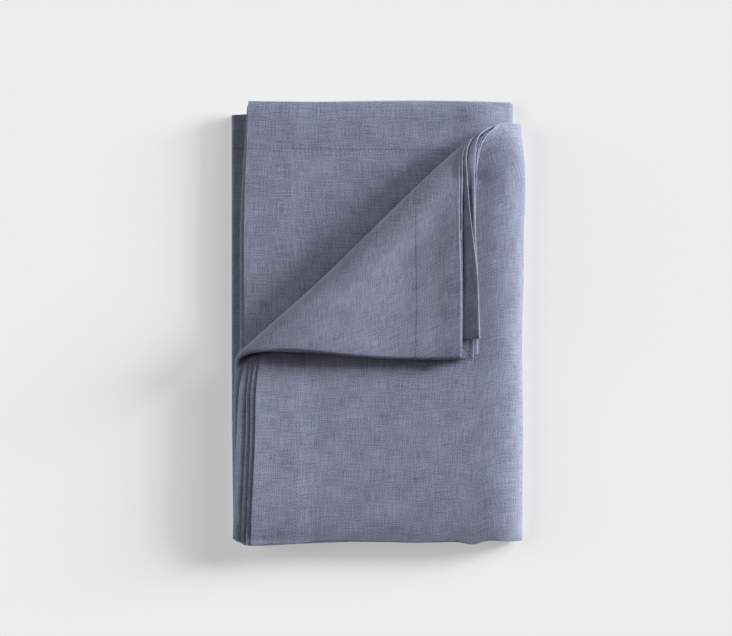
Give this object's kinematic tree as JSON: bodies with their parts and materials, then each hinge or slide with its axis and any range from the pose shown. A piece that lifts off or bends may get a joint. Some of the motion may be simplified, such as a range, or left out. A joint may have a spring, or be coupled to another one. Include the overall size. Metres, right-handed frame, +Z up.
{
  "type": "folded tablecloth",
  "caption": "Plain linen tablecloth folded into a flat oblong packet, with the corner of its upper layers turned back over a slanting crease.",
  "frame": {"origin": "under the middle of the packet, on the surface that it rests on", "axes": "+Z up, +Y along the long side of the packet towards the end with the turned corner, +X across it towards the round folds"},
  "size_m": [0.2476, 0.3754, 0.0386],
  "materials": {
    "linen": "plain weave linen in a dull blue grey, matt"
  },
  "bodies": {
    "root": {"tablecloth": "linen"}
  },
  "joints": []
}
